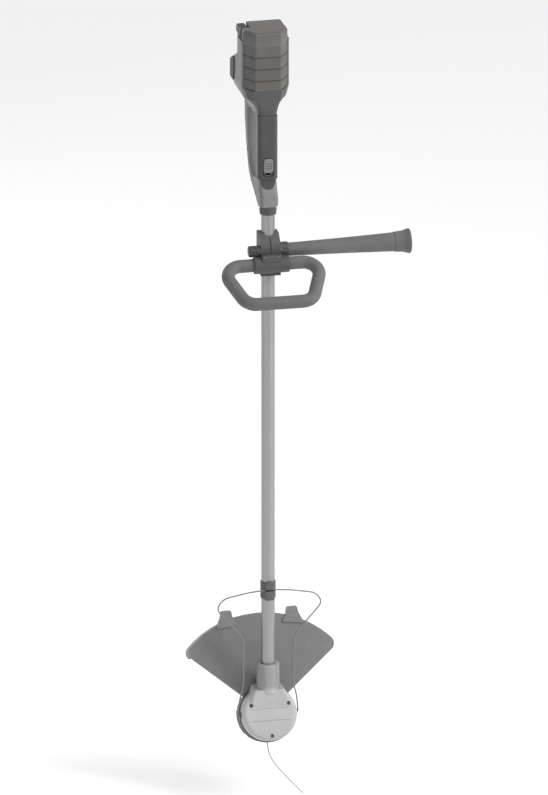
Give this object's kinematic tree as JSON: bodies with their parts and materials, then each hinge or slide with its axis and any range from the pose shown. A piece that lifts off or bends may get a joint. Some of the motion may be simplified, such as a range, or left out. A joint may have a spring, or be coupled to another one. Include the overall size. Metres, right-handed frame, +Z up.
{
  "type": "cordless string trimmer",
  "caption": "Cordless string trimmer with motor head, debris guard, swing-down wire guard, loop handle with barrier bar, and D-handle with slide-on battery.",
  "frame": {"origin": "on the tube's axis at the wall clip that stores the machine", "axes": "+Z up along the tube towards the battery, -Y the side that faces up in use, +X its right, the side of the barrier bar"},
  "size_m": [0.4468, 0.2833, 1.6436],
  "materials": {
    "dark_plastic": "moulded, fine texture",
    "mid_plastic": "moulded, fine texture",
    "light_plastic": "moulded, fine texture",
    "cover_plastic": "satin moulding",
    "soft_grip": "soft moulded rubber",
    "rubber_part": "plain rubber",
    "tube_metal": "drawn and anodised",
    "steel": "zinc plated",
    "dark_steel": "black oxide",
    "wire_steel": "coated wire",
    "nylon": "extruded nylon",
    "copper": "enamelled winding",
    "board": "solder mask"
  },
  "bodies": {
    "machine": {"battery_contacts": "copper", "bumper_strip": "rubber_part", "control_board": "board", "cover_screws": "dark_steel", "cutter_screws": "steel", "dock_front": "dark_plastic", "grip_cover": "soft_grip", "guard": "mid_plastic", "guard_screws": "steel", "handle_left": "light_plastic", "handle_right": "light_plastic", "handle_screws": "dark_steel", "line_cutter": "steel", "lower_housing": "dark_plastic", "motor_bearings": "steel", "motor_cover": "cover_plastic", "nose_collar": "dark_plastic", "parking_clip": "dark_plastic", "pivot_bosses": "dark_plastic", "power_leads": "rubber_part", "rear_foot": "rubber_part", "shaft_plug": "rubber_part", "shaft_tube": "tube_metal", "stator_core": "steel", "stator_windings": "copper", "terminal_block": "dark_plastic", "trigger_pin": "steel", "trigger_spring": "steel", "trigger_switch": "dark_plastic"},
    "battery": {"battery_case": "dark_plastic", "battery_lid": "dark_plastic", "battery_cells": "steel"},
    "battery_latch_left": {"latch_left": "dark_plastic"},
    "battery_latch_right": {"latch_right": "dark_plastic"},
    "trigger_lever": {"trigger": "mid_plastic"},
    "lock_button": {"lock_slider": "mid_plastic"},
    "handle_clamp": {"clamp_rear": "dark_plastic", "clamp_front": "dark_plastic", "clamp_screws": "dark_steel", "clamp_bolt": "steel", "bar_socket": "dark_plastic", "barrier_bar": "soft_grip", "barrier_end_cap": "soft_grip"},
    "loop": {"loop_handle": "soft_grip"},
    "knob": {"clamp_knob": "dark_plastic"},
    "line_head": {"spindle": "steel", "rotor_core": "steel", "head_drum": "dark_plastic", "spindle_nut": "steel", "eyelets": "steel", "spool": "mid_plastic", "wound_line": "nylon", "head_cap": "dark_plastic", "trimmer_line": "nylon", "bump_spring": "steel"},
    "bump_button": {"bump_knob": "mid_plastic"},
    "wire_spacer": {"wire_guard": "wire_steel"}
  },
  "joints": [
    {"name": "battery_slide", "type": "slide", "parent": "machine", "child": "battery", "axis": [0, 0, 1], "range_m": [0, 0.13]},
    {"name": "latch_left_press", "type": "slide", "parent": "battery", "child": "battery_latch_left", "axis": [1, 0, 0], "range_m": [0, 0.0025], "stiffness_N_per_m": 1200, "springref_m": -0.002},
    {"name": "latch_right_press", "type": "slide", "parent": "battery", "child": "battery_latch_right", "axis": [-1, 0, 0], "range_m": [0, 0.0025], "stiffness_N_per_m": 1200, "springref_m": -0.002},
    {"name": "trigger_pull", "type": "hinge", "parent": "machine", "child": "trigger_lever", "pos_m": [0, 0.026, 0.592], "axis": [-1, 0, 0], "range_deg": [0, 9], "stiffness_Nm_per_rad": 1.2, "springref_deg": -11.46, "deforming": ["trigger_spring"]},
    {"name": "lock_slide", "type": "slide", "parent": "machine", "child": "lock_button", "axis": [0, 0, -1], "range_m": [0, 0.007], "stiffness_N_per_m": 500, "springref_m": -0.003},
    {"name": "clamp_slide", "type": "slide", "parent": "machine", "child": "handle_clamp", "axis": [0, 0, 1], "range_m": [-0.15, 0.035]},
    {"name": "loop_tilt", "type": "hinge", "parent": "handle_clamp", "child": "loop", "pos_m": [0, -0.03, 0.348], "axis": [1, 0, 0], "range_deg": [-30, 40]},
    {"name": "knob_turn", "type": "hinge", "parent": "handle_clamp", "child": "knob", "pos_m": [-0.033, -0.0198, 0.3745], "axis": [1, 0, 0], "range_deg": [0, 720]},
    {"name": "head_spin", "type": "hinge", "parent": "machine", "child": "line_head", "pos_m": [0, 0, -0.64], "axis": [0, -0.9272, 0.3746], "continuous": true},
    {"name": "bump_press", "type": "slide", "parent": "line_head", "child": "bump_button", "axis": [0, -0.9272, 0.3746], "range_m": [0, 0.006], "stiffness_N_per_m": 700, "springref_m": -0.004, "deforming": ["bump_spring"]},
    {"name": "wire_swing", "type": "hinge", "parent": "machine", "child": "wire_spacer", "pos_m": [0, 0, -0.64], "axis": [1, 0, 0], "range_deg": [0, 155]}
  ]
}
